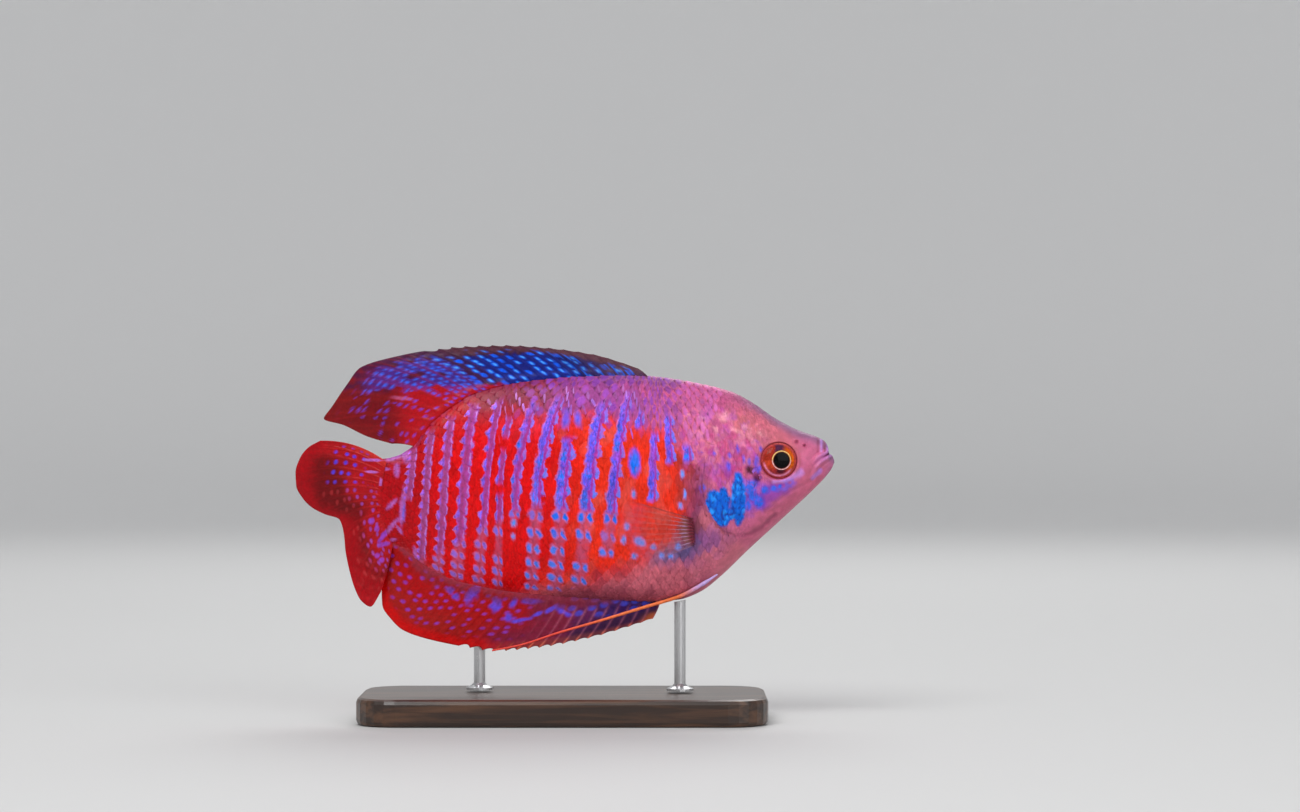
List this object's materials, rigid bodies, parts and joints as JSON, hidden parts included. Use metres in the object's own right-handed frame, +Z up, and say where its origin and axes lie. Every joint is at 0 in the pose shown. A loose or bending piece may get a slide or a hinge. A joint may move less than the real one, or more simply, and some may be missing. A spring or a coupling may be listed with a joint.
{
  "type": "dwarf gourami model",
  "caption": "Still life-size model of a male dwarf gourami: deep flat body, long spiny dorsal and anal fins, thread-like pelvic fins, on a flat base with two short rods.",
  "frame": {"origin": "on the floor, in the middle of the model's length and width", "axes": "+X towards the fish's snout, -Y towards its right side, +Z up"},
  "size_m": [0.08, 0.028, 0.0553],
  "materials": {
    "body_skin": "wet scaled skin, scarlet with blue-violet bars",
    "head_skin": "smooth wet skin, mauve pink with azure cheeks",
    "eye": "clear gloss over an orange-red iris and a black pupil",
    "dorsal_fin": "thin satin membrane, blue dashes on dark red",
    "anal_fin": "thin satin membrane, red with violet spots",
    "tail_fin": "thin satin membrane, dark red",
    "pectoral_fin": "thin clear membrane with fine rays",
    "feeler": "satin, whitish violet to orange-red",
    "stand_base": "dark stained, satin varnish",
    "stand_rod": "fine brushed"
  },
  "bodies": {
    "root": {"head": "head_skin", "lower_jaw": "head_skin", "gill_cover_right": "head_skin", "gill_cover_left": "head_skin", "eye_right": "eye", "eye_left": "eye", "trunk": "body_skin", "tail_stem": "body_skin", "dorsal_fin": "dorsal_fin", "anal_fin": "anal_fin", "tail_fin": "tail_fin", "pectoral_fin_right": "pectoral_fin", "pectoral_fin_left": "pectoral_fin", "pelvic_feeler_right": "feeler", "pelvic_feeler_left": "feeler", "stand_base": "stand_base", "stand_rod_front": "stand_rod", "stand_rod_rear": "stand_rod"}
  },
  "joints": []
}
